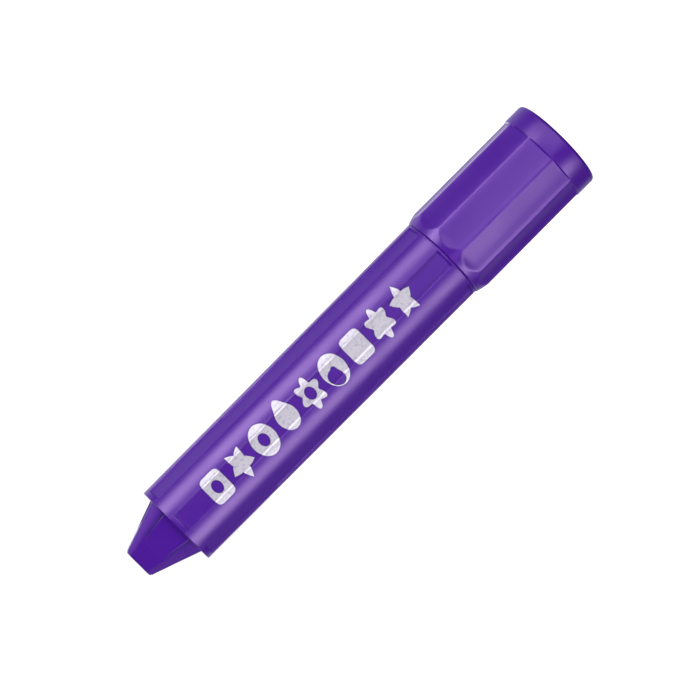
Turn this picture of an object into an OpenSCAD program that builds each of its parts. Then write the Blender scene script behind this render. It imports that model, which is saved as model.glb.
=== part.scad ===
// Chunky twist-up colour stick with a ten-sided push-on cap and a four-sided twist knob.
// It stands on the flat end of its cap: z = 0 is that face, and +Z runs to the knob.
// The face with the foil marks looks along -Y.

/* [Barrel] */
// Radius of the barrel at the shoulder that the cap meets
barrel_rear_r = 8.0; // [7.9:0.05:8.1]
// Radius of the barrel at the knob end, smaller by the moulding draft
barrel_front_r = 7.74; // [7.6:0.02:7.9]
// Length of the coloured barrel between the cap and the knob
barrel_len = 63.9; // [60:0.1:70]
// Number of flat recessed panels around the barrel
panel_count = 6; // [4:1:6]
// Half the width of one recessed panel
panel_half_w = 1.87; // [1.5:0.01:2.2]
// Distance from the axis to the floor of a panel
panel_floor = 7.3; // [7.2:0.05:7.4]
// Plain rim left between the panels and the knob end
front_rim = 1.1; // [0.8:0.1:2]
// Plain rim left between the panels and the cap
rear_rim = 0.55; // [0.4:0.05:1]

/* [Cap] */
// Length of the cap along the axis
cap_len = 27.95; // [27:0.05:29]
// Radius of the plain band around the closed end
band_r = 8.8; // [8.78:0.01:8.9]
// Height of the plain band
band_h = 4.0; // [3:0.1:5]
// Radius of the edge round on the closed end
cap_end_round = 0.6; // [0.3:0.1:0.9]
// Number of flats around the cap
flute_count = 10; // [8:1:12]
// Radius over the ridges between the flats
ridge_r = 8.75; // [8.6:0.01:8.76]
// Turn of the ridges about the axis, in degrees
ridge_turn = 11.5; // [0:0.5:36]
// Radius of the cap at its open mouth
mouth_r = 8.13; // [8.05:0.01:8.2]
// Length of the taper that leads from the mouth up to the ridges
mouth_taper = 2.3; // [1.5:0.1:3]
// Thickness of the closed end
cap_end_wall = 1.5; // [1.2:0.1:2]

/* [Twist knob] */
// Length of the knob
knob_len = 8.85; // [8.5:0.05:9.5]
// Half the width of the knob, from face to face, where it meets the barrel
knob_root = 5.85; // [5.7:0.05:6.1]
// Half the width of the knob at its small end
knob_tip = 2.8; // [2.7:0.05:3.2]
// Radius over the rounded corners, as a multiple of half the width
knob_corner = 1.19; // [1.15:0.01:1.22]
// Length of the scoop in each face of the knob
scoop_len = 5.6; // [4.5:0.1:6]
// Depth of the scoops where the knob meets the barrel
scoop_depth = 0.5; // [0.3:0.05:0.6]

/* [Feed] */
// Lead of the two-start feed thread, the travel for one turn
thread_lead = 6; // [5:0.5:8]
// Mean radius of the feed thread
thread_r = 2.2; // [2.1:0.05:2.3]
// Height of the thread above and below its mean radius
thread_h = 0.3; // [0.2:0.05:0.35]
// Radius of the plain journal that turns in the barrel's end wall
journal_r = 2.95; // [2.8:0.05:3]
// Radius of the colour stick
stick_r = 5.1; // [5:0.05:5.15]

/* [Hidden] */
round_fn = 96;       // sides of the preview of a true round
eps = 0.5;           // how far a cutter runs past what it cuts
running = 0.05;      // radial clearance of the journal
sliding = 0.1;       // radial clearance of a sliding fit
thread_gap = 0.15;   // clearance between the thread and its nut

// Heights along the axis
shoulder_z = cap_len + running;          // rear end of the barrel, next to the cap
barrel_end_z = shoulder_z + barrel_len;  // front end of the barrel
knob_z = barrel_end_z + 0.15;            // underside of the knob
end_wall_z = barrel_end_z - 2.7;         // inside of the barrel's end wall
seal_z = barrel_end_z - 1.3;             // floor of the drag ring's pocket
neck_z = 17;                             // open end of the neck, inside the cap
stick_tip_z = neck_z + 0.6;              // stick drawn back just inside the neck
cup_z = 70;                              // open end of the carrier's cup
cup_floor_z = cup_z + 4;
carrier_end_z = cup_floor_z + 4.5;
collar_z = end_wall_z - running - 1.2;   // rear face of the screw's thrust collar
screw_end_z = 24;                        // free end of the feed screw

// Radii
neck_r = 7.0;
cap_bore_r = neck_r + sliding;
sleeve_r = 6.3;
sleeve_bore_r = 5.4;
key_groove_r = sleeve_bore_r + 0.5;
key_groove_w = 1.6;
seal_pocket_r = 4.3;
ring_section_r = 0.6;
collar_r = 4.6;
scoop_root_w = 3.45;                     // half the width of a scoop at the barrel
scoop_top_w = 2.4;                       // and at its far end
drive_r = 2.5;                           // over the corners of the hexagonal drive
drive_len = 5.5;
spigot_r = 4.6;                          // end of the stick that sits in the cup
screw_clear_r = 2.8;                     // hole in the stick around the screw

violet = [0.38, 0.19, 0.70];
stick_violet = [0.33, 0.13, 0.60];
natural = [0.93, 0.92, 0.88];
soft_grey = [0.62, 0.62, 0.64];

// Outline of the two-start thread: its radius swings twice around the circle.
function thread_outline(grow, sides) =
    [for (i = [0:sides - 1])
        let (a = 360 * i / sides, r = thread_r + grow + thread_h * cos(2 * a))
        [r * cos(a), r * sin(a)]];

// A length of the thread from z0 to z1, always in step with the same helix.
module thread(z0, z1, grow = 0, sides = 12) {
    turns = (z1 - z0) / thread_lead;
    translate([0, 0, z0])
        rotate([0, 0, -360 * (z0 - screw_end_z) / thread_lead])
            linear_extrude(z1 - z0, twist = 360 * turns, slices = ceil(14 * turns))
                polygon(thread_outline(grow, sides));
}

// Points on the edge round of the closed end, from its flat face to the band.
function end_round(steps) =
    [for (i = [0:steps])
        let (a = 90 * i / steps)
        [band_r - cap_end_round * (1 - sin(a)), cap_end_round * (1 - cos(a))]];

// A plain tube or disc from z0 to z1.
module ring(r_out, r_in, z0, z1) {
    translate([0, 0, z0])
        difference() {
            cylinder(z1 - z0, r = r_out, $fn = round_fn);
            if (r_in > 0)
                translate([0, 0, -eps])
                    cylinder(z1 - z0 + 2 * eps, r = r_in, $fn = round_fn);
        }
}

// Coloured outer barrel: six round lobes with flat panels sunk between them.
module barrel() {
    color(violet)
        difference() {
            translate([0, 0, shoulder_z])
                cylinder(barrel_len, r1 = barrel_rear_r, r2 = barrel_front_r, $fn = round_fn);
            for (k = [0:panel_count - 1])
                rotate([0, 0, 360 * k / panel_count])
                    translate([-panel_half_w, -panel_floor - 2, shoulder_z + rear_rim])
                        cube([2 * panel_half_w, 2, barrel_len - front_rim - rear_rim]);
            translate([0, 0, shoulder_z - eps])
                cylinder(end_wall_z - shoulder_z + eps, r = sleeve_r, $fn = round_fn);
            translate([0, 0, end_wall_z - eps])
                cylinder(2.7 + 2 * eps, r = journal_r + running, $fn = round_fn);
            translate([0, 0, seal_z])
                cylinder(1.3 + eps, r = seal_pocket_r, $fn = round_fn);
        }
}

// Natural-coloured inner tube: its bare end is the neck that the cap pushes onto.
module inner_sleeve() {
    color(natural)
        difference() {
            union() {
                rotate_extrude($fn = round_fn)
                    polygon([[0, neck_z], [neck_r - 0.5, neck_z], [neck_r, neck_z + 0.8],
                             [neck_r, shoulder_z], [sleeve_r, shoulder_z],
                             [sleeve_r, end_wall_z], [0, end_wall_z]]);
                for (z = [neck_z + 3, shoulder_z - 2.5])
                    translate([0, 0, z])
                        rotate_extrude($fn = round_fn)
                            translate([neck_r - 0.19, 0])
                                circle(0.25, $fn = 32);
            }
            translate([0, 0, neck_z - eps])
                cylinder(end_wall_z - neck_z + 2 * eps, r = sleeve_bore_r, $fn = round_fn);
            for (turn = [0, 180])
                rotate([0, 0, turn])
                    translate([0, -key_groove_w / 2, shoulder_z])
                        cube([key_groove_r, key_groove_w, end_wall_z - shoulder_z + eps]);
        }
}

// Knob: a four-sided taper with corners rounded by a cone, and a scoop in every face.
module twist_knob() {
    face_slope = (knob_root - knob_tip) / knob_len;
    floor_slope = face_slope - scoop_depth / scoop_len;
    color(violet)
        difference() {
            translate([0, 0, knob_z])
                intersection() {
                    rotate([0, 0, 45])
                        cylinder(knob_len, r1 = knob_root / cos(45), r2 = knob_tip / cos(45),
                                 $fn = 4);
                    cylinder(knob_len, r1 = knob_root * knob_corner,
                             r2 = knob_tip * knob_corner, $fn = round_fn);
                }
            for (k = [0:3])
                rotate([0, 0, 90 * k])
                    translate([0, -knob_root + scoop_depth, knob_z])
                        rotate([90 - atan(floor_slope), 0, 0])
                            linear_extrude(2)
                                polygon([[-scoop_root_w, -eps], [scoop_root_w, -eps],
                                         [scoop_top_w, scoop_len], [-scoop_top_w, scoop_len]]);
            translate([0, 0, knob_z - eps])
                cylinder(drive_len + eps, r = drive_r, $fn = 6);
        }
}

// Feed screw: hexagonal drive, journal, thrust collar and the long two-start thread.
module feed_screw() {
    color(natural)
        union() {
            translate([0, 0, barrel_end_z])
                cylinder(drive_len, r = drive_r, $fn = 6);
            ring(journal_r, 0, collar_z, barrel_end_z);
            ring(collar_r, 0, collar_z, end_wall_z - running);
            thread(screw_end_z, collar_z + 0.2);
        }
}

// Rubber ring that squeezes between the journal and its pocket and gives the knob drag.
module drag_ring() {
    color("dimgray")
        translate([0, 0, seal_z + ring_section_r + 0.02])
            rotate_extrude($fn = round_fn)
                translate([journal_r + ring_section_r, 0])
                    circle(ring_section_r, $fn = 32);
}

// Carrier: a cup that grips the end of the stick, a nut on the thread, and two keys.
module carrier() {
    carrier_r = sleeve_bore_r - sliding;
    color(natural)
        difference() {
            union() {
                ring(carrier_r, 0, cup_z, carrier_end_z);
                for (turn = [0, 180])
                    rotate([0, 0, turn])
                        translate([0, -key_groove_w / 2 + sliding, cup_z])
                            cube([key_groove_r - sliding, key_groove_w - 2 * sliding,
                                  carrier_end_z - cup_z]);
            }
            translate([0, 0, cup_z - eps])
                cylinder(cup_floor_z - cup_z + eps, r = spigot_r, $fn = round_fn);
            thread(cup_floor_z - eps, carrier_end_z + eps, thread_gap);
        }
}

// Colour stick: moulded around the screw's clearance hole, with a blunt tapered tip.
module crayon_stick() {
    color(stick_violet)
        difference() {
            rotate_extrude($fn = round_fn)
                polygon([[0, stick_tip_z], [2.6, stick_tip_z], [stick_r, stick_tip_z + 3.4],
                         [stick_r, cup_z], [spigot_r, cup_z], [spigot_r, cup_floor_z],
                         [0, cup_floor_z]]);
            translate([0, 0, screw_end_z - 1])
                cylinder(cup_floor_z - screw_end_z + 1 + eps, r = screw_clear_r,
                         $fn = round_fn);
        }
}

// Cap: ten flats that run into a tapered mouth, and a plain band at the closed end.
module cap() {
    taper_slope = (ridge_r - mouth_r) / mouth_taper;
    wide_z = cap_len - (band_r + eps - mouth_r) / taper_slope;
    color(violet)
        difference() {
            union() {
                intersection() {
                    translate([0, 0, band_h])
                        linear_extrude(cap_len - band_h)
                            rotate([0, 0, ridge_turn])
                                circle(ridge_r, $fn = flute_count);
                    rotate_extrude($fn = round_fn)
                        polygon([[0, band_h - eps], [band_r + eps, band_h - eps],
                                 [band_r + eps, wide_z], [mouth_r, cap_len], [0, cap_len]]);
                }
                rotate_extrude($fn = round_fn)
                    polygon(concat([[0, 0]], end_round(6), [[band_r, band_h], [0, band_h]]));
            }
            translate([0, 0, cap_end_wall])
                cylinder(cap_len, r = cap_bore_r, $fn = round_fn);
        }
}

// Soft liner cup in the closed end of the cap that keeps the stick from drying.
module cap_liner() {
    liner_r = cap_bore_r - 0.05;
    liner_wall = 0.65;
    liner_floor = 0.8;
    color(soft_grey)
        difference() {
            ring(liner_r, 0, cap_end_wall, neck_z - 0.3);
            translate([0, 0, cap_end_wall + liner_floor])
                cylinder(neck_z, r = liner_r - liner_wall, $fn = round_fn);
        }
}

barrel();
inner_sleeve();
twist_knob();
feed_screw();
drag_ring();
carrier();
crayon_stick();
cap();
cap_liner();
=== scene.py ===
# %% [markdown]
# # A chunky twist-up crayon
# The real object is a moulded plastic stick: a violet barrel with six soft lobes, a push-on cap with ten
# flats, and a four-sided knob that winds a stick of colour in and out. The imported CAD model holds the
# sizes, the joints and the inner works. This notebook gives the outside its finished surfaces: small edge
# rounds, moulding texture and the silver marks, and then lights it as a studio would.

import math

import bpy
import numpy as np
from mathutils import Matrix, Vector


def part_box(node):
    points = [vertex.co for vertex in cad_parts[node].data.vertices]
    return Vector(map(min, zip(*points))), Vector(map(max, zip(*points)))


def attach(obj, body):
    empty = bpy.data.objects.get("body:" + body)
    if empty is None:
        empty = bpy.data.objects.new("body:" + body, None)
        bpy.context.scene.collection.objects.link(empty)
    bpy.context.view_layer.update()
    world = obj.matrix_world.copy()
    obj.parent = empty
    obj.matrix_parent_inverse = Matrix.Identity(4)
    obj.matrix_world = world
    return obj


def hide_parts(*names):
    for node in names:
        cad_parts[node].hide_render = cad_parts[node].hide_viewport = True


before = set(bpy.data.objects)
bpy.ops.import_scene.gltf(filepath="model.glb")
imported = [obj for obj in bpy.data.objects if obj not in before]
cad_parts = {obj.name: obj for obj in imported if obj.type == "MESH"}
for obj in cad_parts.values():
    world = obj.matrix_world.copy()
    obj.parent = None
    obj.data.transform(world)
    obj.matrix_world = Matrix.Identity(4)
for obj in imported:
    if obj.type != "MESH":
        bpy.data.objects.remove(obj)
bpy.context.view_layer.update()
MM = 0.001

# %% [markdown]
# ## Sizes that come from the frame
# Every height is read from a CAD node's box, so a piece made here always meets its neighbours. Only the
# small features that a box can't tell, such as the width of a panel, are named again, in millimetres.

# %% Heights and radii
CAP_LOW, CAP_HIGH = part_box("cap")
BARREL_LOW, BARREL_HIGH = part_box("barrel")
KNOB_LOW, KNOB_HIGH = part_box("twist_knob")
SLEEVE_LOW, SLEEVE_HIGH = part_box("inner_sleeve")
STICK_LOW, STICK_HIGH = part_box("crayon_stick")

BAND_R = CAP_HIGH.x                 # plain band at the closed end of the cap
BARREL_REAR_R = BARREL_HIGH.x       # barrel at the cap
BARREL_FRONT_R = 7.74 * MM          # barrel at the knob, after its draft
KNOB_ROOT = KNOB_HIGH.x             # half the knob's width, from face to face
FRONT_FACE = -math.pi / 2           # the marked face looks along -Y
print(f"cap {CAP_HIGH.z / MM:.2f} mm, barrel to {BARREL_HIGH.z / MM:.2f}, knob to {KNOB_HIGH.z / MM:.2f}")

# %% [markdown]
# ## A surface from a grid
# Each moulded piece is a profile carried round the axis, where the radius may also swing with the angle.
# That makes a grid of points: one row for each step along the profile, one column for each angle. One
# function turns such a grid into a closed mesh. A profile either closes on itself, as on a tube, or
# starts and ends on the axis, as on a solid, and then each end row is welded to one point.

# %% Grid to mesh
def surface_mesh(name, points, poles=False, sharp=32.0):
    """points has the shape (rows, columns, 3). Each point is joined to its neighbours in the next column
    and the next row, and the last column to the first. With poles the two end rows are welded to a point
    each, and without them the last row is joined to the first. Edges above sharp degrees stay sharp."""
    rows, cols = points.shape[:2]
    index = np.arange(rows * cols).reshape(rows, cols)
    if poles:
        index[0, :] = index[0, 0]
        index[-1, :] = index[-1, 0]
    below = index[:-1] if poles else index
    above = index[1:] if poles else np.roll(index, -1, 0)
    corners = (below, np.roll(below, -1, 1), np.roll(above, -1, 1), above)
    quads = np.stack([corner.ravel() for corner in corners], 1)
    used, compact = np.unique(quads, return_inverse=True)
    faces = [tuple(dict.fromkeys(quad)) for quad in compact.reshape(quads.shape).tolist()]
    mesh = bpy.data.meshes.new(name)
    mesh.from_pydata(points.reshape(-1, 3)[used].tolist(), [], [face for face in faces if len(face) > 2])
    mesh.validate()
    mesh.polygons.foreach_set("use_smooth", np.ones(len(mesh.polygons), bool))
    mesh.set_sharp_from_angle(angle=math.radians(sharp))
    piece = bpy.data.objects.new(name, mesh)
    bpy.context.scene.collection.objects.link(piece)
    print(f"{name}: {len(mesh.vertices)} points, {len(mesh.polygons)} faces")
    return piece, used


def add_attribute(piece, name, values, used):
    """Stores one number for each point of the grid, such as how near a worn edge it is."""
    layer = piece.data.attributes.new(name, "FLOAT", "POINT")
    layer.data.foreach_set("value", values.ravel()[used].astype(np.float32))


def turned(radius, angle, height):
    """A grid of points: radius times the cosine and sine of the angle, and the height along the axis."""
    radius, angle, height = np.broadcast_arrays(radius, angle, height)
    return np.stack([radius * np.cos(angle), radius * np.sin(angle), height], -1)

# %% [markdown]
# ## Helpers for soft moulded edges
# A mould never gives a perfectly sharp edge. Where two surfaces meet, a smooth step or a smooth minimum
# blends them over a few tenths of a millimetre, and that thin round is what catches the light. The grid
# has to be fine there and may be coarse elsewhere, so rows and columns are gathered in a fan at each edge.

# %% Blends
def smooth_step(t):
    """0 below t = 0, 1 above t = 1, with no kink at either end: 3 t squared minus 2 t cubed."""
    t = np.clip(t, 0, 1)
    return t * t * (3 - 2 * t)


def smooth_min(a, b, blend):
    """The smaller of a and b, rounded over the length blend where they cross."""
    share = np.clip(0.5 + 0.5 * (b - a) / blend, 0, 1)
    return b + (a - b) * share - blend * share * (1 - share)


def nearest_turn(angle, count, start):
    """Angle from the nearest of count equally spaced directions, the first of them at start."""
    step = 2 * math.pi / count
    return (angle - start + step / 2) % step - step / 2

# %% Profiles and spacing
def arc(centre_r, centre_z, radius, start, end, steps=6):
    """Points (r, z) on a circle round a centre, from the start angle to the end angle in degrees."""
    turn = np.radians(np.linspace(start, end, steps + 1))
    return np.stack([centre_r + radius * np.cos(turn), centre_z + radius * np.sin(turn)], 1)


def line(r0, z0, r1, z1, steps=1):
    """Points (r, z) on a straight stretch, both ends included."""
    return np.stack([np.linspace(r0, r1, steps + 1), np.linspace(z0, z1, steps + 1)], 1)


def fan(width, steps=9):
    """Even offsets from -width to width, for the rows or columns gathered at an edge."""
    return np.linspace(-1, 1, steps) * width


TOO_CLOSE = 0.15                    # columns closer than this share of a fan's spread are thinned


def angles_with_edges(count, start, repeats, edges, spread):
    """One row of angles: even ones round the circle, and a fan at each edge of a repeated feature. An
    angle too close to the one before it is dropped."""
    even = np.linspace(0, 2 * math.pi, count, endpoint=False)
    centres = start + 2 * math.pi * np.arange(repeats) / repeats
    extra = (centres[:, None, None] + np.array(edges)[None, :, None] + fan(spread)).ravel()
    found = np.sort(np.concatenate([even, extra % (2 * math.pi)]))
    keep = np.append(True, np.diff(found) > TOO_CLOSE * spread)
    return found[keep][None, :]

# %% [markdown]
# ## The barrel
# The barrel is a drafted tube. Six flat panels are sunk into it and leave six round lobes between them.
# The panel floors stay parallel to the axis while the lobes swell towards the cap, so the step beside a
# panel is faint at the knob and clear at the cap. Sinking the panels with boolean cuts would leave sharp
# edges. As one surface, the radius at each angle is the smaller of the round wall and the flat floor,
# blended at the panel's edges.

# %% The barrel's surface
PANELS = 6
PANEL_HALF_W = 1.87 * MM
PANEL_FLOOR = 7.30 * MM             # from the axis to a panel's floor
FRONT_RIM = 1.10 * MM               # plain wall between the panels and the front face
REAR_RIM = 0.55 * MM                # and between the panels and the cap
EDGE = 0.14 * MM                    # width of a moulded edge round
BARREL_LEN = BARREL_HIGH.z - BARREL_LOW.z


def barrel_wall_r(z):
    """Outer radius of the drafted tube: a straight line from the rear radius to the front one."""
    return BARREL_REAR_R + (BARREL_FRONT_R - BARREL_REAR_R) * (z - BARREL_LOW.z) / BARREL_LEN


def barrel_r(angle, z, wall=None):
    """The wall's radius, lowered to a flat floor inside each panel. share is 0 in a panel, 1 on a lobe,
    and rises over an edge round at the panel's two sides and two ends."""
    wall = barrel_wall_r(z) if wall is None else wall
    off = nearest_turn(angle, PANELS, FRONT_FACE)
    floor = PANEL_FLOOR / np.cos(off)
    across = np.abs(off) * wall
    side = smooth_step((across - PANEL_HALF_W) / EDGE + 0.5)
    inside = np.minimum(z - BARREL_LOW.z - REAR_RIM, BARREL_HIGH.z - FRONT_RIM - z)
    share = np.maximum(side, smooth_step(0.5 - inside / EDGE))
    return np.minimum(wall, floor + (wall - floor) * share)

# %% Make the barrel
BARREL_ROUND = 0.16 * MM            # edge round of both end faces
SLEEVE_R = 6.30 * MM                # the bore, which the inner tube fills
POCKET_R = 4.3 * MM                 # pocket for the drag ring
POCKET_DEPTH = 1.3 * MM
JOURNAL_R = 3.0 * MM                # hole for the feed screw
END_WALL = 2.7 * MM                 # end wall, pocket included
PANEL_WEAR = 30                     # higher keeps the wear closer to a panel's edge
BARREL_COLUMNS = 180                # even ones, before the fans at the edges


def barrel_heights():
    """Heights along the barrel, close together at both ends of the panels."""
    low, high = BARREL_LOW.z + REAR_RIM, BARREL_HIGH.z - FRONT_RIM
    ends = fan(0.6 * EDGE, 7)
    middle = np.linspace(low + 2 * EDGE, high - 2 * EDGE, 60)
    return np.sort(np.concatenate([low + ends, high + ends, middle]))


def make_barrel():
    """One closed tube: outer wall, front face, drag ring pocket, end wall and bore, then the rear face.
    The wear is a bell curve over the distance to a panel's edge."""
    z0, z1 = BARREL_LOW.z, BARREL_HIGH.z
    heights = barrel_heights()
    outside = np.concatenate([
        arc(BARREL_REAR_R - BARREL_ROUND, z0 + BARREL_ROUND, BARREL_ROUND, -90, 0),
        np.stack([barrel_wall_r(heights), heights], 1),
        arc(BARREL_FRONT_R - BARREL_ROUND, z1 - BARREL_ROUND, BARREL_ROUND, 0, 90)])
    inside = np.concatenate([
        line(POCKET_R + BARREL_ROUND, z1, POCKET_R, z1 - BARREL_ROUND),
        line(POCKET_R, z1 - POCKET_DEPTH, JOURNAL_R, z1 - POCKET_DEPTH),
        line(JOURNAL_R, z1 - END_WALL, SLEEVE_R, z1 - END_WALL),
        line(SLEEVE_R, z0 + BARREL_ROUND, SLEEVE_R + BARREL_ROUND, z0)])
    side = PANEL_HALF_W / BARREL_REAR_R
    spread = 1.6 * EDGE / BARREL_REAR_R
    angle = angles_with_edges(BARREL_COLUMNS, FRONT_FACE, PANELS, [-side, side], spread)
    flat = 0 * angle
    r, z = outside[:, 0:1], outside[:, 1:2]
    shaped = np.minimum(r, barrel_r(angle, z, r + flat))
    radius = np.concatenate([shaped, inside[:, 0:1] + flat])
    height = np.concatenate([z, inside[:, 1:2]])
    piece, used = surface_mesh("barrel_shell", turned(radius, angle, height))
    from_edge = (nearest_turn(angle, PANELS, FRONT_FACE) * r / PANEL_HALF_W) ** 2 - 1
    wear = np.exp(-PANEL_WEAR * from_edge ** 2)
    add_attribute(piece, "wear", np.concatenate([wear, 0 * inside[:, 0:1] + flat]), used)
    return piece


barrel = make_barrel()
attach(barrel, "barrel")
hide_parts("barrel")

# %% [markdown]
# ## The cap
# The cap is a ten-sided tube that grips well in small fingers. Its flats are slightly dished. They run
# into a conical mouth, which cuts each flat off in a rounded arch, and into a plain round band at the
# closed end. A bevelled prism would give even edges, but here every edge has its own round, so the radius
# is a formula: the smooth minimum of a ten-sided prism and the cone, blended into the band over a step.

# %% The cap's surface
FLATS = 10
RIDGE_R = 8.75 * MM                 # from the axis to a ridge
RIDGE_TURN = math.radians(11.5)     # direction of one ridge
RIDGE_ROUND = 50                    # higher is crisper
HOLLOW = 0.18 * MM                  # how much each flat dips in its middle
HOLLOW_RUN = 2.5 * MM               # length over which the hollow runs out at the mouth
BAND_H = 4.0 * MM
BAND_STEP = 0.22 * MM               # height over which the flats step out to the band
MOUTH_R = 8.13 * MM
MOUTH_TAPER = 2.3 * MM              # length of the cone
MOUTH_BLEND = 0.05 * MM             # round between a flat and the cone


def prism_r(angle, sides, apothem, start, crispness):
    """Radius of a prism with softly rounded corners: the apothem over a smooth maximum of the cosines of
    the angles to its nearest flats, which is the logarithm of a sum of exponentials."""
    step = 2 * math.pi / sides
    off = nearest_turn(angle, sides, start)
    near = np.stack([np.cos(off + k * step) for k in (-1, 0, 1)])
    return apothem * crispness / np.log(np.exp(crispness * near).sum(0))


def cap_r(angle, z):
    """The ten-sided prism, each flat dipped by a parabola across its width, cut by the cone of the mouth
    and widened to the band at the closed end. sharpen makes up for what the rounding takes off a ridge."""
    half_step = math.pi / FLATS
    sharpen = 1 + math.log(2) / (RIDGE_ROUND * math.cos(half_step))
    apothem = RIDGE_R * math.cos(half_step) * sharpen
    flats = prism_r(angle, FLATS, apothem, RIDGE_TURN + half_step, RIDGE_ROUND)
    across = nearest_turn(angle, FLATS, RIDGE_TURN + half_step) / half_step
    flats = flats - HOLLOW * (1 - across ** 2) * smooth_step((CAP_HIGH.z - z) / HOLLOW_RUN)
    cone = MOUTH_R + (CAP_HIGH.z - z) * (RIDGE_R - MOUTH_R) / MOUTH_TAPER
    body = smooth_min(flats, cone, MOUTH_BLEND)
    share = smooth_step((BAND_H - z) / BAND_STEP + 0.5)
    return body + (BAND_R - body) * share

# %% Make the cap
END_ROUND = 0.6 * MM                # edge round of the closed end
LIP = 0.12 * MM                     # edge round of the mouth
CAP_BORE_R = 7.10 * MM
BORE_MIDDLE = 14 * MM               # a row of points half-way up the bore
CAP_WALL_Z = 1.5 * MM               # thickness of the closed end
RIDGE_WEAR = 0.65 * MM              # how far the wear spreads beside a ridge
BAND_FADE = 0.5 * MM                # height over which the wear sets in above the band
CAP_COLUMNS = 200


def cap_heights():
    """Heights up the cap's outside, close together at the band's step and along the mouth."""
    top = CAP_HIGH.z - LIP
    mouth = top - MOUTH_TAPER - 0.3 * MM
    flats = np.linspace(BAND_H + 0.3 * MM, mouth - 0.1 * MM, 16)
    return np.sort(np.concatenate([[END_ROUND], BAND_H + fan(0.13 * MM), flats, np.linspace(mouth, top, 40)]))


def make_cap():
    """A closed cup: end face, end round, outer wall, mouth lip, bore, and the inside of the end wall. The
    wear is a bell curve over the distance to a ridge, from the band up."""
    heights = cap_heights()
    angle = angles_with_edges(CAP_COLUMNS, RIDGE_TURN, FLATS, [0], 2.0 * EDGE / RIDGE_R)
    flat = 0 * angle
    wall = cap_r(angle, heights[:, None])
    end = np.concatenate([line(0, 0, BAND_R - END_ROUND, 0, 8)[:-1],
                          arc(BAND_R - END_ROUND, END_ROUND, END_ROUND, -90, 0, 8)[:-1]])
    inside = np.concatenate([
        line(CAP_BORE_R + LIP, CAP_HIGH.z, CAP_BORE_R, CAP_HIGH.z - LIP),
        line(CAP_BORE_R, BORE_MIDDLE, CAP_BORE_R, CAP_WALL_Z, 4),
        line(CAP_BORE_R - 0.5 * MM, CAP_WALL_Z, 0, CAP_WALL_Z, 3)])
    mouth_edge = np.minimum(wall[-1:], MOUTH_R) - LIP
    radius = np.concatenate([end[:, 0:1] + flat, wall, mouth_edge, inside[:, 0:1] + flat])
    height = np.concatenate([end[:, 1:2], heights[:, None], [[CAP_HIGH.z]], inside[:, 1:2]])
    piece, used = surface_mesh("cap_shell", turned(radius, angle, height), poles=True)
    ridge = np.exp(-(nearest_turn(angle, FLATS, RIDGE_TURN) * RIDGE_R / RIDGE_WEAR) ** 2)
    wear = np.zeros_like(radius)
    wear[len(end):len(end) + len(heights)] = ridge * smooth_step((heights[:, None] - BAND_H) / BAND_FADE)
    add_attribute(piece, "wear", wear, used)
    return piece


cap = make_cap()
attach(cap, "cap")
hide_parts("cap")

# %% [markdown]
# ## The twist knob
# The knob is a four-sided taper with rounded corners, blunt at its end, that copies the point of a wax
# crayon. Each face is scooped out where it meets the barrel, so that fingers find it in the dark, and the
# scoop runs out before the tip. The radius is the smooth minimum of a square pyramid and a cone, lowered
# to the scoop's floor between its two sides. Little light gets in along those sides, so a second number,
# the scoop shade, is worked out with the radius and paints the plastic darker there as shade.

# %% The knob's surface
SIDES = 4
KNOB_TIP = 2.80 * MM                # half the width at the small end
KNOB_CORNER = 1.19                  # radius over the corners, as a multiple of half the width
CORNER_BLEND = 0.22 * MM
SCOOP_LEN = 5.6 * MM
SCOOP_DEPTH = 0.5 * MM              # at the barrel
SCOOP_ROOT_W = 3.45 * MM            # half the width of a scoop at the barrel
SCOOP_TOP_W = 2.4 * MM              # and at its far end
SCOOP_WALL = 0.50 * MM              # width of the wall that curves down into a scoop
SCOOP_EARLY = 0.15                  # share of that wall that lies outside the scoop's width
SHADE_START, SHADE_END = -0.1, 0.8    # where along the wall the shade is painted
KNOB_LEN = KNOB_HIGH.z - KNOB_LOW.z


def knob_r(angle, z):
    """The radius and the painted shade of the scoop. The radius is the rounded square taper less the scoop.
    The scoop's depth falls in a straight line from the barrel to its far end, and inside rises from 0 at the
    top of its wall to 1 at its floor, steeply at first, as one minus a square. The shade is painted on the
    scoop's wall, where little light gets in."""
    up = z - KNOB_LOW.z
    half = KNOB_ROOT + (KNOB_TIP - KNOB_ROOT) * up / KNOB_LEN
    off = nearest_turn(angle, SIDES, FRONT_FACE)
    face = smooth_min(half / np.cos(off), half * KNOB_CORNER + 0 * off, CORNER_BLEND)
    share = np.clip(up / SCOOP_LEN, 0, 1)
    depth = SCOOP_DEPTH * (1 - share)
    across = np.abs(half * np.tan(off))
    edge = SCOOP_ROOT_W + (SCOOP_TOP_W - SCOOP_ROOT_W) * share
    run = (edge - across) / SCOOP_WALL + SCOOP_EARLY
    inside = 1 - (1 - np.clip(run, 0, 1)) ** 2
    # painted shade: marks the scoop's wall for a darker colour, as shade where little light gets in
    on_wall = smooth_step((run - SHADE_START) / 0.2) * smooth_step((SHADE_END - run) / 0.35)
    return face - depth * inside / np.cos(off), on_wall * smooth_step(3 - 3 * share)

# %% Make the knob
KNOB_ROUND = 0.38 * MM              # edge round of the blunt end
ROUND_INSET = 0.28                  # the round starts this share of its radius inside the taper
ROUND_STOP = 15                     # the round faces this many degrees above level at the taper
CORNER_WEAR = 0.2                   # angle in radians over which the wear rises on a corner
DRIVE_R = 2.5 * MM                  # hexagonal socket, over its corners
DRIVE_TOP = 5.5 * MM
SKIRT = 0.145 * MM                  # the knob's outer rim reaches down and closes the running gap
SKIRT_R = 4.8 * MM                  # the rim's inner radius, clear of the drag ring
KNOB_COLUMNS = 240
KNOB_ROWS = 92


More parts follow.
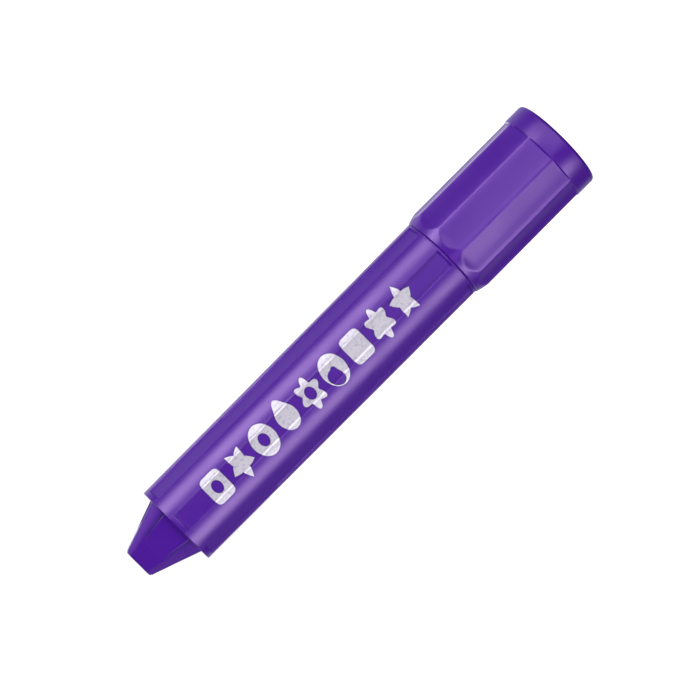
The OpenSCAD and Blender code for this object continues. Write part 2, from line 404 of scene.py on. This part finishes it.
def make_knob():
    """A closed piece: the blunt end, its edge round, the scooped taper, the rim, the underside and the
    hexagonal socket that the feed screw's drive sits in."""
    shoulder = KNOB_HIGH.z - KNOB_ROUND
    heights = np.linspace(shoulder, KNOB_LOW.z - SKIRT, KNOB_ROWS)
    side = math.atan((SCOOP_ROOT_W - 0.2 * SCOOP_WALL) / KNOB_ROOT)
    angle = angles_with_edges(KNOB_COLUMNS, FRONT_FACE, SIDES, [-side, side], math.radians(2.6))
    top = knob_r(angle, np.array([[shoulder]]))[0]
    turn = np.radians(np.linspace(90, ROUND_STOP, 6))[:, None]
    face = top * np.linspace(0, 0.8, 5)[:, None]
    blunt = top - KNOB_ROUND * (1 - np.cos(turn)) - ROUND_INSET * KNOB_ROUND
    blunt_z = KNOB_HIGH.z - KNOB_ROUND * (1 - np.sin(turn))
    wall, scoop_shade = knob_r(angle, heights[:, None])
    socket = DRIVE_R * math.cos(math.pi / 6) / np.cos(nearest_turn(angle, 6, FRONT_FACE))
    rim = SKIRT_R + 0 * socket
    under = np.concatenate([rim, rim, socket, socket, 0 * socket])
    under_z = np.array([-SKIRT, 0, 0, DRIVE_TOP, DRIVE_TOP])[:, None] + KNOB_LOW.z
    radius = np.concatenate([face, blunt, wall, under])
    height = np.concatenate([np.full((len(face), 1), KNOB_HIGH.z), blunt_z, heights[:, None], under_z])
    piece, used = surface_mesh("knob_shell", turned(radius, angle, height)[::-1], poles=True)
    corner = np.abs(nearest_turn(angle, SIDES, FRONT_FACE)) - math.acos(1 / KNOB_CORNER)
    wall_start, wall_end = len(face) + len(blunt), len(face) + len(blunt) + len(heights)
    wear, dark = np.zeros_like(radius), np.zeros_like(radius)
    wear[len(face):wall_end] = smooth_step(corner / CORNER_WEAR)
    # the painted shade along the scoop walls is stored as a point attribute
    dark[wall_start:wall_end] = scoop_shade
    add_attribute(piece, "wear", wear[::-1], used)
    add_attribute(piece, "scoop_shade", dark[::-1], used)
    return piece


knob = make_knob()
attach(knob, "knob")
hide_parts("twist_knob")

# %% [markdown]
# ## The neck
# With the cap off, a pale neck shows with two snap beads that click into the cap. It is the end of an
# inner tube, which also has two key grooves in its bore to hold the carrier straight while the screw
# turns. It is a turned shape: one profile of radius against height, carried round the axis. Only the bore
# changes with the angle, where a smooth step sinks the grooves.

# %% Make the neck
NECK_R = 7.0 * MM
NECK_LIP = 0.25 * MM                # edge round of the bore
LEAD_IN = 0.5 * MM                  # how much slimmer the neck's end is, to find its way into the cap
LEAD_IN_LEN = 0.8 * MM
BEAD_PROUD = 0.06 * MM
BEAD_HALF_H = 0.2 * MM
BEAD_UP = 3 * MM                    # first bead above the neck's end
BEAD_DOWN = 2.5 * MM                # second bead below the barrel
SLEEVE_BORE_R = 5.4 * MM
GROOVE_R = 5.9 * MM                 # from the axis to a groove's floor
GROOVE_HALF_W = 0.8 * MM
GROOVE_SIDE = 0.143                 # angle in radians from a groove's middle to its side
NECK_COLUMNS = 144


def bead(z):
    """A snap bead: the neck's radius plus a squared sine over the bead's height."""
    swell = np.sin(np.linspace(0, math.pi, 7)) ** 2
    return np.stack([NECK_R + BEAD_PROUD * swell, np.linspace(z - BEAD_HALF_H, z + BEAD_HALF_H, 7)], 1)


def make_sleeve():
    """The inner tube: neck lip, two beads, shoulder, outer wall, end, and the bore with its grooves. The
    bore's last row has no grooves, because they stop at the barrel's rear face."""
    z0, z1, shoulder = SLEEVE_LOW.z, SLEEVE_HIGH.z, BARREL_LOW.z
    outside = np.concatenate([
        arc(SLEEVE_BORE_R + NECK_LIP, z0 + NECK_LIP, NECK_LIP, 180, 270),
        line(NECK_R - LEAD_IN, z0, NECK_R, z0 + LEAD_IN_LEN, 3),
        bead(z0 + BEAD_UP), bead(shoulder - BEAD_DOWN),
        line(NECK_R, shoulder, SLEEVE_R, shoulder),
        line(SLEEVE_R, z1, SLEEVE_BORE_R, z1)])
    bore_z = np.array([z1 - 0.01 * MM, shoulder + 0.1 * MM, shoulder])[:, None]
    grooved = np.array([[1], [1], [0]])
    angle = angles_with_edges(NECK_COLUMNS, 0, 2, [-GROOVE_SIDE, GROOVE_SIDE], 0.02)
    across = np.abs(nearest_turn(angle, 2, 0)) * SLEEVE_BORE_R
    in_groove = smooth_step((GROOVE_HALF_W - across) / EDGE + 0.5)
    bore_r = SLEEVE_BORE_R + (GROOVE_R - SLEEVE_BORE_R) * in_groove * grooved
    radius = np.concatenate([outside[:, 0:1] + 0 * angle, bore_r])
    height = np.concatenate([outside[:, 1:2], bore_z])
    return surface_mesh("neck_tube", turned(radius, angle, height))[0]


sleeve = make_sleeve()
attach(sleeve, "barrel")
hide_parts("inner_sleeve")

# %% [markdown]
# ## The colour stick
# Inside the neck is the stick itself, cast in coloured wax with a blunt tip. A cylinder with a bevel would
# look machined. Here the turned profile is pulled in by a few hundredths of a millimetre in slow waves
# round and along it, as wax shrinks in its mould, and the highlights waver as they do on a real stick.

# %% Make the stick
TIP_FLAT_R = 2.1 * MM               # flat end of the tip
TIP_ROUND = 0.7 * MM
SHOULDER_ROUND = 1.2 * MM           # round between the tip's slope and the wall
SHOULDER_UP = 3.4 * MM              # its height above the tip
WALL_UP = 5 * MM                    # the plain wall starts this far above the tip
SPIGOT_R = 4.6 * MM                 # the end that sits in the carrier's cup
SPIGOT_LEN = 4 * MM
SCREW_HOLE_R = 2.8 * MM             # room for the feed screw
SCREW_HOLE_Z = 23 * MM              # where that hole ends
CAST_DIP = 0.02 * MM
CAST_TWIST = 4 * MM                 # how slowly the dips wind round the stick
CAST_WAVE = 2.3 * MM                # and how slowly they come and go along it
STICK_COLUMNS = 144


def make_stick():
    """The tip, the long plain wall, the spigot, and the hole around the feed screw. A product of a sine
    round the stick and a sine along it gives the cast's dips. The hole and the tip's end stay round."""
    z0, z1, wide = STICK_LOW.z, STICK_HIGH.z, STICK_HIGH.x
    cup = z1 - SPIGOT_LEN
    profile = np.concatenate([
        line(0, z0, TIP_FLAT_R, z0, 4), arc(TIP_FLAT_R, z0 + TIP_ROUND, TIP_ROUND, -80, -40, 4),
        arc(wide - SHOULDER_ROUND, z0 + SHOULDER_UP, SHOULDER_ROUND, -36, 0, 6),
        line(wide, z0 + WALL_UP, wide, cup, 24), line(SPIGOT_R, cup, SPIGOT_R, z1),
        line(SCREW_HOLE_R, z1, SCREW_HOLE_R, SCREW_HOLE_Z, 8), [[0, SCREW_HOLE_Z]]])
    angle = np.linspace(0, 2 * math.pi, STICK_COLUMNS, endpoint=False)[None, :]
    r, z = profile[:, 0:1], profile[:, 1:2]
    cast = CAST_DIP * np.sin(3 * angle + z / CAST_TWIST) * np.sin(z / CAST_WAVE)
    r = r - np.abs(cast) * (r > SCREW_HOLE_R)
    return surface_mesh("colour_stick", turned(r, angle, z), poles=True)[0]


stick = make_stick()
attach(stick, "carrier")
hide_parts("crayon_stick")

# %% [markdown]
# ## The silver marks
# A hot stamp presses silver foil on the marked face, over the flat panel and half-way up the lobes beside
# it. The marks here are plain shapes: a star, a ring, a drop, a flower and so on. A picture on the barrel
# would blur close up, so each mark is a thin film of its own. It is a small grid in two parameters, from
# its middle or inner edge out to its outline, and every point is then laid on the barrel, a few hundredths
# of a millimetre proud, so the foil follows the step at the panel's edges.

# %% Outlines of the marks
def star(turn, points=5, waist=0.56):
    """Radius of a star: it falls from each point to a waist and back along straight-looking sides."""
    off = np.abs(nearest_turn(turn, points, 0)) * points / math.pi
    return 1 / (1 + (1 / waist - 1) * off)


def flower(turn, petals=6):
    """Radius of a flower: a circle that swells with each petal."""
    return 0.83 + 0.17 * np.cos(petals * turn)


def drop(turn):
    """Radius of a drop: a circle with one drawn-out point."""
    return 0.80 + 0.34 * np.exp(-(nearest_turn(turn, 1, 0) / 0.42) ** 2)


def blunt_square(turn):
    """Radius of a square with round corners, from the power mean of its two half-planes."""
    return 0.86 / (np.abs(np.cos(turn)) ** 5 + np.abs(np.sin(turn)) ** 5) ** 0.2


def ring(turn):
    """Radius of a circle."""
    return 0.96 + 0 * turn


def hole(turn):
    """Radius of a small round hole."""
    return 0.34 + 0 * turn


def moon_hole(turn):
    """Radius of a hole that swells to one side and leaves a moon."""
    return 0.16 + 0.66 * np.exp(-(nearest_turn(turn, 1, 0.5) / 1.25) ** 4)


def filled(turn):
    """Radius of a dot too small to see, at the middle of a mark without a hole."""
    return 0.0005 + 0 * turn

# %% Lay a mark on the barrel
FOIL_PROUD = 0.03 * MM              # how far the film stands on the barrel
FOIL_LIFT = 0.004 * MM              # its very edge is this much clear of the skin
FOIL_SUNK = 0.03 * MM               # how deep its back lies under the skin
FOIL_ROUND = 0.12 * MM              # width of its rounded edge
FOIL_BRIDGE = 0.16 * MM             # the film starts to climb a step this far before it
FOIL_EDGE_SHADE = 0.09 * MM                # width of the painted shade line along the film's edge
MARK_TALL = 3.15 * MM               # half the height of a mark, across the barrel
MARK_SQUEEZE = 0.80                 # marks are this much narrower than tall
MARK_STEPS = 120
MARK_RINGS = 25


def wrap_on_barrel(across, along, proud, bridge=0.0):
    """Lays flat coordinates on the marked face: across becomes an angle round the wall, along a height.
    The radius is the largest of the barrel's own within the length bridge, plus how proud the foil is."""
    angle = FRONT_FACE - across / PANEL_FLOOR
    near = fan(bridge, 7) / PANEL_FLOOR
    return turned(np.max([barrel_r(angle + off, along) for off in near], 0) + proud, angle, along)


def mark_grid(inner, outer, middle, tilt):
    """A flat shape between two outlines, both radii as functions of the turn about its middle. The grid
    runs from the inner outline to the outer one and once round. bare is the distance to an outline."""
    turn = np.linspace(0, 2 * math.pi, MARK_STEPS, endpoint=False)[None, :]
    share = smooth_step(np.linspace(0, 1, MARK_RINGS))[:, None]
    low, high = MARK_TALL * inner(turn), MARK_TALL * outer(turn)
    radius = low + (high - low) * share
    across = radius * np.cos(turn + tilt)
    along = middle + MARK_SQUEEZE * radius * np.sin(turn + tilt)
    bare = high - radius if inner is filled else np.minimum(high - radius, radius - low)
    return across, along, bare


def mark_film(inner, outer, middle, tilt):
    """A closed film: the mark's face a little proud of the barrel, and its back just under the skin."""
    across, along, bare = mark_grid(inner, outer, middle, tilt)
    crown = FOIL_PROUD * smooth_step(bare / FOIL_ROUND)
    face = wrap_on_barrel(across, along, crown + FOIL_LIFT, FOIL_BRIDGE)
    back = wrap_on_barrel(across, along, np.full_like(crown, -FOIL_SUNK))
    grid = np.concatenate([face, back[::-1]])
    piece, used = surface_mesh("mark", grid, poles=inner is filled, sharp=60)
    # painted shade: a dark line along the film's edge, where it rises from the barrel
    rim = 1 - smooth_step((bare - FOIL_EDGE_SHADE) / FOIL_EDGE_SHADE)
    add_attribute(piece, "rim", np.concatenate([rim, rim[::-1]]), used)
    return piece

# %% Make the marks
FOIL_FIRST = 82.4 * MM              # middle of the mark nearest the knob
FOIL_LAST = 38.4 * MM               # middle of the mark nearest the cap
MARKS = [                           # inner outline, outer outline, tilt, from the knob to the cap
    (hole, blunt_square, 0), (filled, star, 0), (hole, ring, 0), (filled, drop, math.pi),
    (hole, flower, 0.2), (moon_hole, ring, 0), (filled, blunt_square, 0), (filled, flower, 0),
    (filled, star, math.pi)]


def make_marks():
    """All the marks in a row, evenly spaced and joined as one piece of foil."""
    middles = np.linspace(FOIL_FIRST, FOIL_LAST, len(MARKS))
    pieces = [mark_film(inner, outer, middle, tilt) for (inner, outer, tilt), middle in zip(MARKS, middles)]
    with bpy.context.temp_override(active_object=pieces[0], selected_editable_objects=pieces):
        bpy.ops.object.join()
    pieces[0].name = pieces[0].data.name = "foil_marks"
    return pieces[0]


foil = make_marks()
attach(foil, "barrel")

# %% [markdown]
# ## Materials
# Colours are written as sRGB hex and turned to linear light by one function. A second small function adds
# a node, sets its values and links its inputs, so each material below reads as a short recipe. Patterns
# use Object coordinates in metres, so a scale is one over a real size.

# %% Material helpers
def hex_colour(code):
    """Linear RGBA from an sRGB hex code."""
    part = np.array([int(code[i:i + 2], 16) for i in (1, 3, 5)]) / 255
    low, high = part / 12.92, ((part + 0.055) / 1.055) ** 2.4
    return (*np.where(part <= 0.04045, low, high), 1.0)


def add(tree, kind, links=(), inputs=None, **settings):
    """Adds a node of a kind. settings are its properties, inputs its socket values, and links pairs of
    (socket, where it comes from). A socket goes by its name or, where names repeat, by its number."""
    node = tree.nodes.new(kind)
    for key, value in settings.items():
        setattr(node, key, value)
    for key, value in (inputs or {}).items():
        node.inputs[key].default_value = value
    for key, source in links:
        tree.links.new(source, node.inputs[key])
    return node


def new_material(name):
    """A node material with nothing in it yet."""
    made = bpy.data.materials.new(name)
    made.use_nodes = True
    made.node_tree.nodes.clear()
    return made, made.node_tree


def mottle(tree, size_mm, detail=3.0, stretch=(1, 1, 1)):
    """Soft noise whose blotches are about size_mm across, stretched along the axes if asked."""
    where = add(tree, "ShaderNodeTexCoord").outputs["Object"]
    scaled = add(tree, "ShaderNodeMapping", [("Vector", where)], {"Scale": stretch})
    return add(tree, "ShaderNodeTexNoise", [("Vector", scaled.outputs["Vector"])],
               {"Scale": 1000 / size_mm, "Detail": detail}).outputs["Fac"]


# On a Mix node of colours the share is socket 0, the two colours are 6 and 7, and the result is output 2.
SHARE, FIRST, SECOND, MIXED = 0, 6, 7, 2
# Soft noise stays mostly between these two values, so they are spread out to the full range.
NOISE = {"From Min": 0.3, "From Max": 0.7}

# %% [markdown]
# ### Moulded violet plastic
# The shell is injection-moulded polypropylene or ABS, coloured through. The polished mould leaves it glossy,
# with a very faint orange peel of about a millimetre. Handling dulls it in soft patches and leaves the ridges
# a little paler, so a wear attribute that the surfaces carry lightens the colour there. The scoop shade
# attribute paints shade on the sides of the knob's scoops: it darkens them and makes them rougher. The
# highlights have a cool violet tint, and a touch of subsurface light keeps thin edges from going dead.

# %% Violet plastic
def violet_plastic():
    """Glossy coloured plastic, paler on worn ridges, rougher in patches, painted darker as shade in the
    scoops.
    """
    made, tree = new_material("moulded_violet_plastic")
    worn = add(tree, "ShaderNodeAttribute", attribute_name="wear").outputs["Fac"]
    scoop_shade = add(tree, "ShaderNodeAttribute", attribute_name="scoop_shade").outputs["Fac"]
    patches = mottle(tree, 7.0)
    wear = add(tree, "ShaderNodeMath", [(0, worn), (1, patches)], operation="MULTIPLY")
    base = add(tree, "ShaderNodeMix", [(SHARE, wear.outputs[0])],
               {FIRST: hex_colour("#4C1799"), SECOND: hex_colour("#6E3CB4")}, data_type="RGBA")
    # painted shade: a dark violet mixed in along the scoops' walls, where little light gets in
    colour = add(tree, "ShaderNodeMix", [(SHARE, scoop_shade), (FIRST, base.outputs[MIXED])],
                 {SECOND: hex_colour("#2B0672")}, data_type="RGBA")
    satin = add(tree, "ShaderNodeMapRange", [("Value", patches)], {**NOISE, "To Min": 0.30, "To Max": 0.37})
    rough = add(tree, "ShaderNodeMath", [(0, scoop_shade), (2, satin.outputs["Result"])], {1: 0.5},
                operation="MULTIPLY_ADD")
    peel = add(tree, "ShaderNodeBump", [("Height", mottle(tree, 1.1, 2.0))],
               {"Strength": 1.0, "Distance": 0.004 * MM})
    shader = add(tree, "ShaderNodeBsdfPrincipled",
                 [("Base Color", colour.outputs[MIXED]), ("Roughness", rough.outputs[0]),
                  ("Normal", peel.outputs["Normal"])],
                 {"IOR": 1.5, "Specular IOR Level": 0.75, "Specular Tint": hex_colour("#ECC6FF"),
                  "Subsurface Weight": 0.08, "Subsurface Radius": (0.6, 0.3, 1.0),
                  "Subsurface Scale": 0.6 * MM})
    add(tree, "ShaderNodeOutputMaterial", [("Surface", shader.outputs["BSDF"])])
    return made

# %% [markdown]
# ### Natural polypropylene
# The neck, the carrier and the screw are moulded without pigment. The plastic is milky and lets light in by
# about a millimetre, so it needs more subsurface light than the shell, and a plain mould leaves it satin.

# %% Natural plastic
def natural_plastic():
    """Uncoloured polypropylene: milky, satin, faintly see-through."""
    made, tree = new_material("natural_polypropylene")
    colour = add(tree, "ShaderNodeMix", [(SHARE, mottle(tree, 9.0))],
                 {FIRST: hex_colour("#DEDACD"), SECOND: hex_colour("#E9E6DC")}, data_type="RGBA")
    rough = add(tree, "ShaderNodeMapRange", [("Value", mottle(tree, 3.0))],
                {**NOISE, "To Min": 0.36, "To Max": 0.46})
    peel = add(tree, "ShaderNodeBump", [("Height", mottle(tree, 0.8, 2.0))],
               {"Strength": 1.0, "Distance": 0.004 * MM})
    shader = add(tree, "ShaderNodeBsdfPrincipled",
                 [("Base Color", colour.outputs[MIXED]), ("Roughness", rough.outputs["Result"]),
                  ("Normal", peel.outputs["Normal"])],
                 {"Subsurface Weight": 0.25, "Subsurface Radius": (1.0, 0.9, 0.7),
                  "Subsurface Scale": 1.0 * MM})
    add(tree, "ShaderNodeOutputMaterial", [("Surface", shader.outputs["BSDF"])])
    return made

# %% [markdown]
# ### Cast wax
# The stick is wax with dense pigment. It is satin rather than glossy, its colour is a little uneven, and it
# has ripples and tiny pits from casting that are longer along the stick than across it.

# %% Violet wax
def cast_wax():
    """Colour stick: dense pigment in wax, satin, with casting ripples and tiny pits."""
    made, tree = new_material("cast_colour_wax")
    colour = add(tree, "ShaderNodeMix", [(SHARE, mottle(tree, 2.5))],
                 {FIRST: hex_colour("#45178F"), SECOND: hex_colour("#5526A6")}, data_type="RGBA")
    rough = add(tree, "ShaderNodeMapRange", [("Value", mottle(tree, 1.5))],
                {**NOISE, "To Min": 0.38, "To Max": 0.55})
    pits = add(tree, "ShaderNodeBump", [("Height", mottle(tree, 0.6, 4.0, (1, 1, 0.5)))],
               {"Strength": 1.0, "Distance": 0.02 * MM})
    shader = add(tree, "ShaderNodeBsdfPrincipled",
                 [("Base Color", colour.outputs[MIXED]), ("Roughness", rough.outputs["Result"]),
                  ("Normal", pits.outputs["Normal"])],
                 {"Subsurface Weight": 0.15, "Subsurface Scale": 0.8 * MM})
    add(tree, "ShaderNodeOutputMaterial", [("Surface", shader.outputs["BSDF"])])
    return made

# %% [markdown]
# ### Rubber and liner
# The drag ring is nitrile rubber: matte black, with a dusty bloom that greys it in fine specks. The liner in
# the cap is soft polyethylene: grey-white, dull and a little see-through.

# %% Rubber and soft liner
def nitrile_rubber():
    """Matte black rubber with a dusty bloom."""
    made, tree = new_material("nitrile_rubber")
    colour = add(tree, "ShaderNodeMix", [(SHARE, mottle(tree, 0.7))],
                 {FIRST: hex_colour("#1B1B1C"), SECOND: hex_colour("#2C2C2E")}, data_type="RGBA")
    grain = add(tree, "ShaderNodeBump", [("Height", mottle(tree, 0.3))],
                {"Strength": 1.0, "Distance": 0.006 * MM})
    shader = add(tree, "ShaderNodeBsdfPrincipled",
                 [("Base Color", colour.outputs[MIXED]), ("Normal", grain.outputs["Normal"])],
                 {"Roughness": 0.7})
    add(tree, "ShaderNodeOutputMaterial", [("Surface", shader.outputs["BSDF"])])
    return made


def soft_liner():
    """Soft polyethylene: grey-white and dull."""
    made, tree = new_material("soft_polyethylene")
    colour = add(tree, "ShaderNodeMix", [(SHARE, mottle(tree, 4.0))],
                 {FIRST: hex_colour("#C6C6CA"), SECOND: hex_colour("#D5D5D8")}, data_type="RGBA")
    rough = add(tree, "ShaderNodeMapRange", [("Value", mottle(tree, 2.0))],
                {**NOISE, "To Min": 0.45, "To Max": 0.6})
    shader = add(tree, "ShaderNodeBsdfPrincipled",
                 [("Base Color", colour.outputs[MIXED]), ("Roughness", rough.outputs["Result"])],
                 {"Subsurface Weight": 0.3, "Subsurface Scale": 1.0 * MM})
    add(tree, "ShaderNodeOutputMaterial", [("Surface", shader.outputs["BSDF"])])
    return made

# %% [markdown]
# ### Hot-stamped foil
# The foil is a vacuum-coated film pressed on hot. It is metal, but the plastic under it isn't flat, so it
# looks satin and slightly mottled, and the press leaves pinholes and thin spots where it dulls. Pure metal
# would mirror the dark side of the studio, so it is only partly metallic, and its pale base shows.

# %% Foil
def silver_foil():
    """Satin silver with fine mottling and a few dull specks, and a dark line of painted shade along its edge.
    """
    made, tree = new_material("hot_stamped_silver")
    edge = add(tree, "ShaderNodeAttribute", attribute_name="rim").outputs["Fac"]
    specks = add(tree, "ShaderNodeMapRange", [("Value", mottle(tree, 0.5, 6.0))],
                 {"From Min": 0.52, "From Max": 0.72, "To Min": 0, "To Max": 1})
    face = add(tree, "ShaderNodeMix", [(SHARE, specks.outputs["Result"])],
               {FIRST: hex_colour("#DAD5E2"), SECOND: hex_colour("#BDB4CC")}, data_type="RGBA")
    # painted shade: dark violet along the film's edge
    colour = add(tree, "ShaderNodeMix", [(SHARE, edge), (FIRST, face.outputs[MIXED])],
                 {SECOND: hex_colour("#4A2A86")}, data_type="RGBA")
    rough = add(tree, "ShaderNodeMapRange", [("Value", mottle(tree, 1.2))],
                {**NOISE, "To Min": 0.50, "To Max": 0.64})
    dents = add(tree, "ShaderNodeBump", [("Height", mottle(tree, 0.45, 3.0))],
                {"Strength": 1.0, "Distance": 0.01 * MM})
    shader = add(tree, "ShaderNodeBsdfPrincipled",
                 [("Base Color", colour.outputs[MIXED]), ("Roughness", rough.outputs["Result"]),
                  ("Normal", dents.outputs["Normal"])], {"Metallic": 0.6})
    add(tree, "ShaderNodeOutputMaterial", [("Surface", shader.outputs["BSDF"])])
    return made

# %% [markdown]
# ### Which piece has which material
# The surfaces made above are painted as objects. The inner works keep their CAD meshes, so those are
# painted by the names of their nodes.

# %% Paint the pieces
def paint(piece, material):
    """Gives a piece one material."""
    piece.data.materials.clear()
    piece.data.materials.append(material)


VIOLET, NATURAL = violet_plastic(), natural_plastic()
inner_works = {"feed_screw": NATURAL, "carrier": NATURAL, "drag_ring": nitrile_rubber(),
               "cap_liner": soft_liner()}
for piece in (barrel, cap, knob):
    paint(piece, VIOLET)
paint(sleeve, NATURAL)
paint(stick, cast_wax())
paint(foil, silver_foil())
for node, material in inner_works.items():
    paint(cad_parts[node], material)
print("materials:", sorted(material.name for material in bpy.data.materials if material.users))

# %% [markdown]
# ## Camera
# The object stands upright, as its joints need, but it is shown lying along a diagonal. Turning the object
# would move it out of the shared frame, so the camera is rolled instead. It is far away with a long lens,
# which keeps the sides of the barrel nearly parallel.

# %% Make the camera
CAMERA_TURN = math.radians(2.5)     # to the side of the marked face
CAMERA_DISTANCE = 0.595
CAMERA_HEIGHT = 0.0925
AIM = Vector((0.000085, 0, 0.0501))
ROLL = math.radians(135.16)
LENS = 181.2


def make_camera():
    """A long lens beside the knob end, rolled so that the knob points down to the lower left."""
    data = bpy.data.cameras.new("camera")
    data.lens, data.sensor_width = LENS, 36
    data.clip_start, data.clip_end = 0.05, 20
    camera = bpy.data.objects.new("camera", data)
    bpy.context.scene.collection.objects.link(camera)
    around = FRONT_FACE + CAMERA_TURN
    out, aside = math.cos(around) * CAMERA_DISTANCE, math.sin(around) * CAMERA_DISTANCE
    place = Vector((AIM.x + out, aside, CAMERA_HEIGHT))
    turn = (AIM - place).to_track_quat("-Z", "Y").to_matrix().to_4x4()
    camera.matrix_world = Matrix.Translation(place) @ turn @ Matrix.Rotation(-ROLL, 4, "Z")
    bpy.context.scene.camera = camera


make_camera()

# %% [markdown]
# ## Floor and surroundings
# The picture is a catalogue shot on a pure pale ground. The floor is a plain pale sheet that glows, so it
# has no shadow and no horizon. The glossy plastic shows what is around it: the camera side is dark, which
# is why the panels that face it look deep, and a pale wall behind and to the right lights the far sides.

# %% Floor and world
FLOOR_R = 3.0
FLOOR_SIDES = 96
PALE_WALL = (0.25, 0.97, 0.30)      # direction in which the surroundings are brightest


def make_floor():
    """A pale disc under the object, wide enough to fill every view."""
    turn = np.linspace(0, 2 * math.pi, FLOOR_SIDES, endpoint=False)
    points = np.stack([FLOOR_R * np.cos(turn), FLOOR_R * np.sin(turn), 0 * turn], 1)
    data = bpy.data.meshes.new("floor")
    data.from_pydata(points.tolist(), [], [tuple(range(FLOOR_SIDES))])
    floor = bpy.data.objects.new("floor", data)
    bpy.context.scene.collection.objects.link(floor)
    made, tree = new_material("pale_paper")
    shader = add(tree, "ShaderNodeBsdfPrincipled", inputs={
        "Base Color": (0.9, 0.9, 0.9, 1), "Roughness": 0.9, "Specular IOR Level": 0.0,
        "Emission Color": (1, 1, 1, 1), "Emission Strength": 1.0})
    add(tree, "ShaderNodeOutputMaterial", [("Surface", shader.outputs["BSDF"])])
    paint(floor, made)
    floor.visible_glossy = False
    floor.visible_diffuse = False
    floor.visible_shadow = False


def make_world():
    """White where the camera looks past the object. For everything the object reflects it is nearly dark
    in front and rises to a pale wall behind and to the right, along one slanted direction."""
    world = bpy.data.worlds.new("studio")
    world.use_nodes = True
    tree = world.node_tree
    tree.nodes.clear()
    seen = add(tree, "ShaderNodeLightPath").outputs["Is Camera Ray"]
    where = add(tree, "ShaderNodeTexCoord").outputs["Generated"]
    towards_wall = add(tree, "ShaderNodeVectorMath", [(0, where)], {1: PALE_WALL}, operation="DOT_PRODUCT")
    level = add(tree, "ShaderNodeMapRange", [("Value", towards_wall.outputs["Value"])],
                {"From Min": 0.25, "From Max": 0.95, "To Min": 0.04, "To Max": 0.9})
    dim = add(tree, "ShaderNodeBackground", [("Strength", level.outputs["Result"])],
              {"Color": (1, 1, 1, 1)})
    white = add(tree, "ShaderNodeBackground", inputs={"Color": (1, 1, 1, 1), "Strength": 1.05})
    mix = add(tree, "ShaderNodeMixShader", [(0, seen), (1, dim.outputs[0]), (2, white.outputs[0])])
    add(tree, "ShaderNodeOutputWorld", [("Surface", mix.outputs[0])])
    bpy.context.scene.world = world


make_floor()
make_world()

# %% [markdown]
# ## Lights
# Two soft boxes beside the camera draw a bright line down the lobes on each side of the marked face. They
# hang high, so that the cap at the bottom catches less of them than the barrel. A low card in front lights
# the cap's flats from below, through the floor, which casts no shadow. A soft light behind brings out the
# edges of the outline.

# %% Make the lights
LIGHT_DISTANCE = 0.5
SOFT_BOXES = [                      # degrees beside the camera, height, width, length, radiance
    ("left_box", 51.7, 0.137, 0.24, 0.41, 7.3),
    ("right_box", -60.2, 0.137, 0.235, 0.41, 6.5),
    ("low_card", 13.0, -0.135, 0.40, 0.22, 2.5),
    ("back_box", 176.0, 0.137, 0.20, 0.5, 1.6)]


def soft_box(name, side_deg, height, width, length, radiance):
    """An area light at an angle beside the camera, turned to the axis of the object. Its power is its
    radiance times its area times pi."""
    data = bpy.data.lights.new(name, "AREA")
    data.shape, data.size, data.size_y = "RECTANGLE", width, length
    data.energy = radiance * width * length * math.pi
    light = bpy.data.objects.new(name, data)
    bpy.context.scene.collection.objects.link(light)
    around = FRONT_FACE + CAMERA_TURN + math.radians(side_deg)
    light.location = (LIGHT_DISTANCE * math.cos(around), LIGHT_DISTANCE * math.sin(around), height)
    towards = Vector((-light.location.x, -light.location.y, 0))
    light.rotation_euler = towards.to_track_quat("-Z", "Y").to_euler()
    print(f"{name}: {data.energy:.2f} W")


for box in SOFT_BOXES:
    soft_box(*box)
bpy.context.scene.view_settings.view_transform = "Standard"
